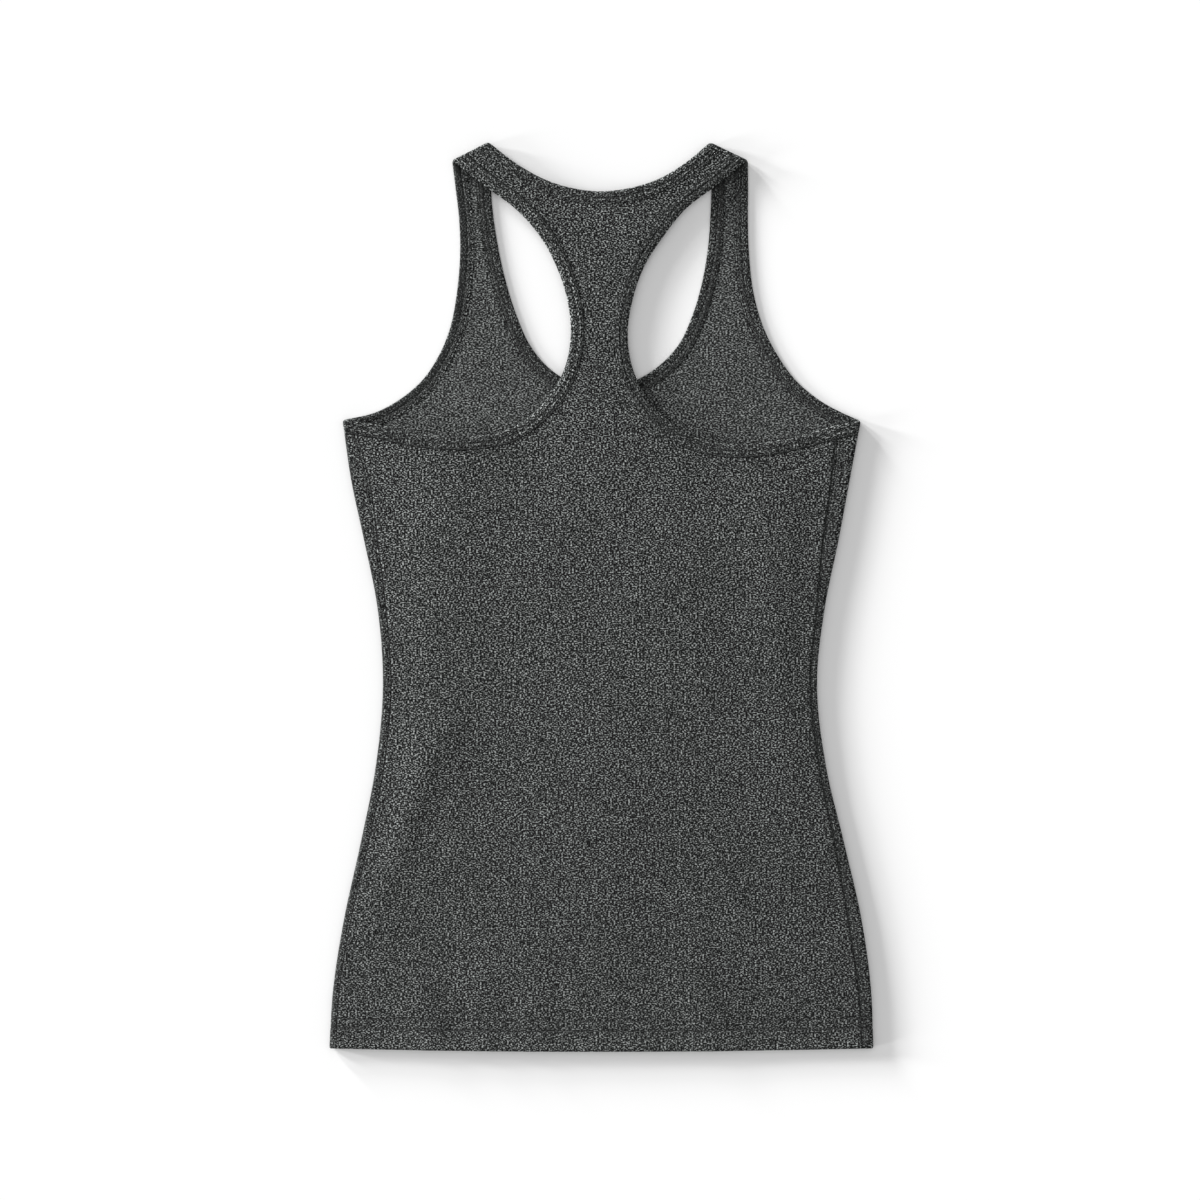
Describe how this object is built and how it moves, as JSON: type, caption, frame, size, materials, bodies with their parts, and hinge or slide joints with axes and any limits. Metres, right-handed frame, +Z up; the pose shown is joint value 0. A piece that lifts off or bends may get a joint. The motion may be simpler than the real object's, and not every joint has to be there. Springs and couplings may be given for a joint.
{
  "type": "tank top",
  "caption": "Women's racerback tank top in thin heathered knit, laid flat with its back up, with bound neck and armholes and a turned hem.",
  "frame": {"origin": "middle of the garment's outline, on the surface that it lies on", "axes": "+Y from the hem to the shoulders, +X to the right as seen from above, +Z up out of the back"},
  "size_m": [0.3913, 0.6541, 0.0064],
  "materials": {
    "knit": "matt charcoal heather jersey, with fine light and dark flecks",
    "binding": "the same jersey cut as strips, folded over the edge and stitched in two rows"
  },
  "bodies": {
    "root": {"front_panel": "knit", "back_panel": "knit", "neck_binding": "binding", "armhole_binding_left": "binding", "armhole_binding_right": "binding"}
  },
  "joints": []
}
